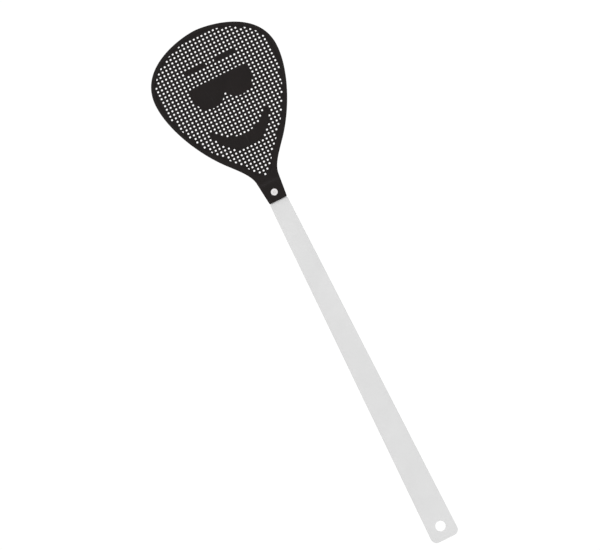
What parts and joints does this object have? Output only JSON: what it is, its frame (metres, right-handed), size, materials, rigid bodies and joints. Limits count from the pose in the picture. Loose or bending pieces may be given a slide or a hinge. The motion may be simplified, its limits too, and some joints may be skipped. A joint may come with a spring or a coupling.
{
  "type": "fly swatter",
  "caption": "Hand-held fly swatter: perforated teardrop paddle with a plain face pattern, flexible neck riveted on a flat tapered handle with a hanging hole.",
  "frame": {"origin": "middle of the grip on the handle's back face, 70 mm above the handle's free end", "axes": "+Z along the swatter from the handle to the top of the paddle, +X across its width, +Y out of the flat back; the front faces -Y"},
  "size_m": [0.1148, 0.0056, 0.48],
  "materials": {
    "web": "satin black moulded plastic",
    "socket": "satin black moulded plastic",
    "handle": "satin light grey moulded plastic",
    "rivet_pin": "smooth light grey plastic",
    "rivet_cap": "smooth light grey plastic"
  },
  "bodies": {
    "handle": {"handle": "handle", "neck_socket": "socket", "snap_rivet_pin": "rivet_pin", "snap_rivet_cap": "rivet_cap"},
    "flap": {"flap": "web"}
  },
  "joints": [
    {"name": "neck_flex", "type": "hinge", "parent": "handle", "child": "flap", "pos_m": [0, -0.0011, 0.2707], "axis": [1, 0, 0], "range_deg": [-35, 35], "stiffness_Nm_per_rad": 0.11}
  ]
}
